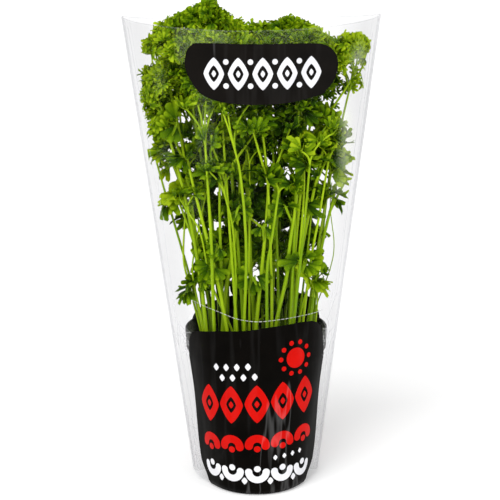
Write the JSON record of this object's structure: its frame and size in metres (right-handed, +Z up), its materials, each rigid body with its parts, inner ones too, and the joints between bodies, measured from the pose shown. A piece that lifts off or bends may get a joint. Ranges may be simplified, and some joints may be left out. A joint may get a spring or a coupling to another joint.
{
  "type": "potted parsley",
  "caption": "Curly parsley with upright leaf stalks growing in a tapered black nursery pot, inside a clear film sleeve that is open at the top.",
  "frame": {"origin": "middle of the pot's underside, on the surface it stands on", "axes": "+Z up, -Y towards the front of the sleeve, +X to the right seen from the front"},
  "size_m": [0.1945, 0.113, 0.3738],
  "materials": {
    "pot": "satin",
    "growing_medium": "matte",
    "frond": "satin",
    "young_leaf": "satin",
    "sleeve": "gloss"
  },
  "bodies": {
    "root": {"frond_01": "frond", "frond_02": "frond", "frond_03": "frond", "frond_04": "frond", "frond_05": "frond", "frond_06": "frond", "frond_07": "frond", "frond_08": "frond", "frond_09": "frond", "frond_10": "frond", "frond_11": "frond", "frond_12": "frond", "frond_13": "frond", "frond_14": "frond", "frond_15": "frond", "frond_16": "frond", "frond_17": "frond", "frond_18": "frond", "frond_19": "frond", "frond_20": "frond", "frond_21": "frond", "frond_22": "frond", "frond_23": "frond", "frond_24": "frond", "frond_25": "frond", "frond_26": "frond", "frond_27": "frond", "frond_28": "frond", "frond_29": "frond", "frond_30": "frond", "frond_31": "frond", "frond_32": "frond", "growing_medium": "growing_medium", "pot": "pot", "sleeve": "sleeve", "young_leaf_01": "young_leaf", "young_leaf_02": "young_leaf", "young_leaf_03": "young_leaf", "young_leaf_04": "young_leaf", "young_leaf_05": "young_leaf", "young_leaf_06": "young_leaf", "young_leaf_07": "young_leaf", "young_leaf_08": "young_leaf", "young_leaf_09": "young_leaf"}
  },
  "joints": []
}
